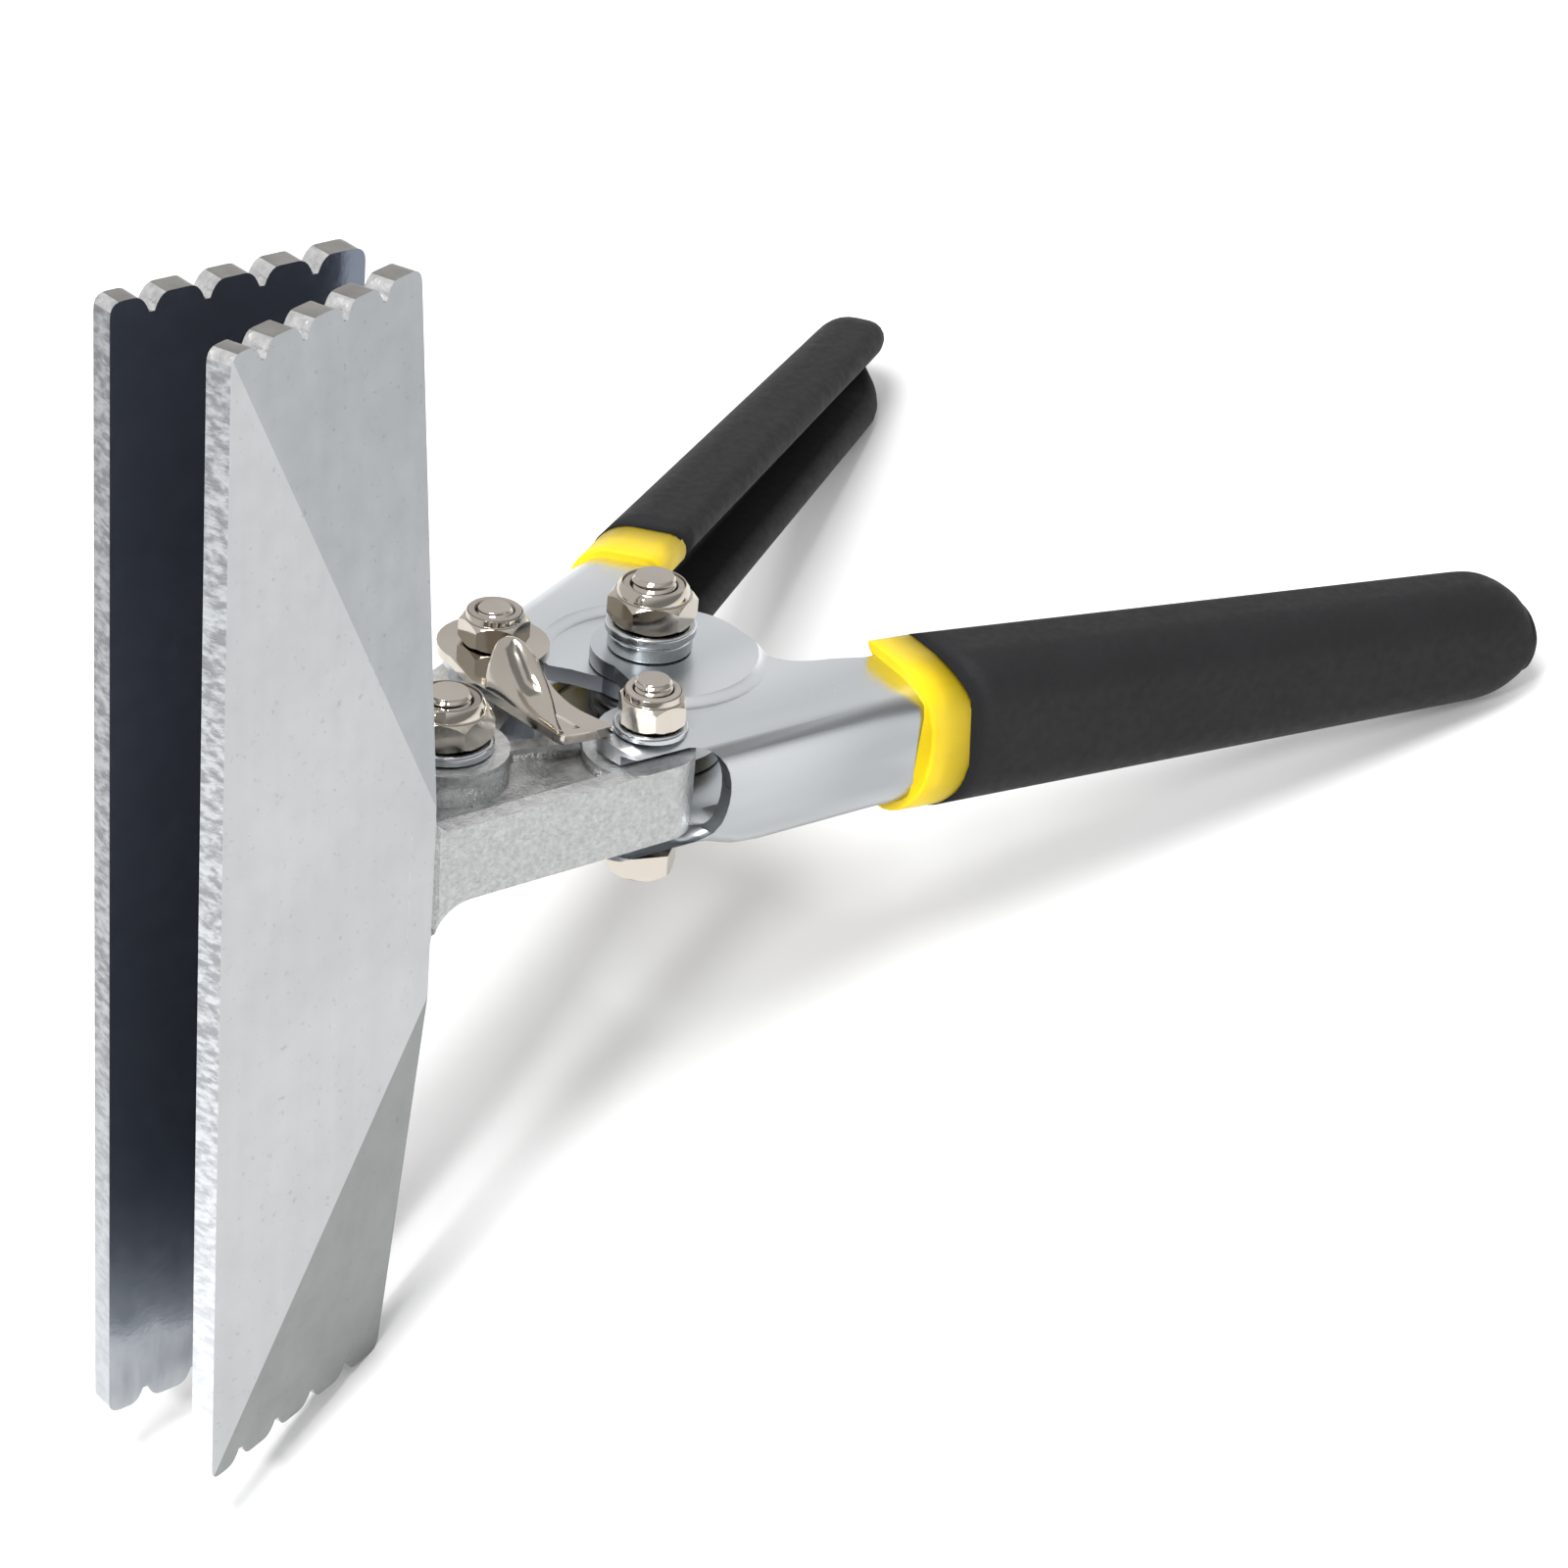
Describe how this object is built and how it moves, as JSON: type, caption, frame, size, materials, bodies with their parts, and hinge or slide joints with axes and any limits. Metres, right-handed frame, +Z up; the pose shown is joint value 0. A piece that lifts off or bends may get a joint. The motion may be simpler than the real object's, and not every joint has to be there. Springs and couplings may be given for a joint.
{
  "type": "hand seamer",
  "caption": "Compound-action hand seamer: wide straight jaws with depth notches fold sheet metal, squeezed through a linkage by two channel handles with dipped grips.",
  "frame": {"origin": "on the bench under the middle of the tool's box, with the tool standing on its jaws' lower back corners and its grips' ends", "axes": "+X to the rear, towards the grips; +Y to the far jaw's side; +Z up. The jaw pivot's bolt points up and leans 21 degrees to the rear"},
  "size_m": [0.215, 0.1352, 0.1534],
  "materials": {
    "jaw_zinc": "satin zinc plate over ground and rolled steel",
    "handle_zinc": "bright zinc plate over pressed sheet steel",
    "fastener_nickel": "bright nickel plate",
    "washer_zinc": "zinc plate",
    "grip_vinyl": "dipped black vinyl, fine matte texture",
    "band_vinyl": "dipped yellow vinyl",
    "lock_nylon": "natural nylon",
    "spring_steel": "oil-hardened spring wire"
  },
  "bodies": {
    "near_jaw": {"near_jaw": "jaw_zinc", "jaw_pivot_bolt": "fastener_nickel", "jaw_pivot_washer": "washer_zinc", "jaw_pivot_nut": "fastener_nickel", "jaw_pivot_lock_ring": "lock_nylon"},
    "far_jaw": {"far_jaw": "jaw_zinc"},
    "near_handle": {"near_handle": "handle_zinc", "near_grip": "grip_vinyl", "near_grip_band": "band_vinyl", "near_link_bolt": "fastener_nickel", "near_link_washer": "washer_zinc", "near_link_nut": "fastener_nickel", "near_link_lock_ring": "lock_nylon", "near_link_spacer": "washer_zinc", "handle_pivot_bolt": "fastener_nickel", "handle_pivot_collar": "washer_zinc", "handle_pivot_washer": "washer_zinc", "handle_pivot_nut": "fastener_nickel", "handle_pivot_lock_ring": "lock_nylon", "handle_pivot_bush": "washer_zinc", "return_spring": "spring_steel"},
    "far_handle": {"far_handle": "handle_zinc", "far_grip": "grip_vinyl", "far_grip_band": "band_vinyl", "far_link_bolt": "fastener_nickel", "far_link_nut": "fastener_nickel", "far_link_lock_ring": "lock_nylon", "far_link_spacer": "washer_zinc"},
    "latch": {"latch": "fastener_nickel"}
  },
  "joints": [
    {"name": "jaw_pivot", "type": "hinge", "parent": "near_jaw", "child": "far_jaw", "pos_m": [-0.03542, 0.00339, 0.06541], "axis": [0.3639, 0, 0.9314], "range_deg": [0, 17.24], "stiffness_Nm_per_rad": 0.5, "springref_deg": -17.19},
    {"name": "near_link", "type": "hinge", "parent": "near_jaw", "child": "near_handle", "pos_m": [-0.01439, -0.01047, 0.05719], "axis": [0.3639, 0, 0.9314], "range_deg": [0, 22.42], "deforming": ["return_spring"]},
    {"name": "far_link", "type": "hinge", "parent": "far_jaw", "child": "far_handle", "pos_m": [-0.01439, 0.01725, 0.05719], "axis": [0.3639, 0, 0.9314], "range_deg": [-22.42, 0]},
    {"name": "latch_swing", "type": "hinge", "parent": "far_jaw", "child": "latch", "pos_m": [-0.01439, 0.01725, 0.05719], "axis": [0.3639, 0, 0.9314], "range_deg": [-10, 0]}
  ],
  "couplings": [
    {"joint": "near_link", "follows": "jaw_pivot", "ratio": 1.2999},
    {"joint": "far_link", "follows": "jaw_pivot", "ratio": -1.2999}
  ]
}
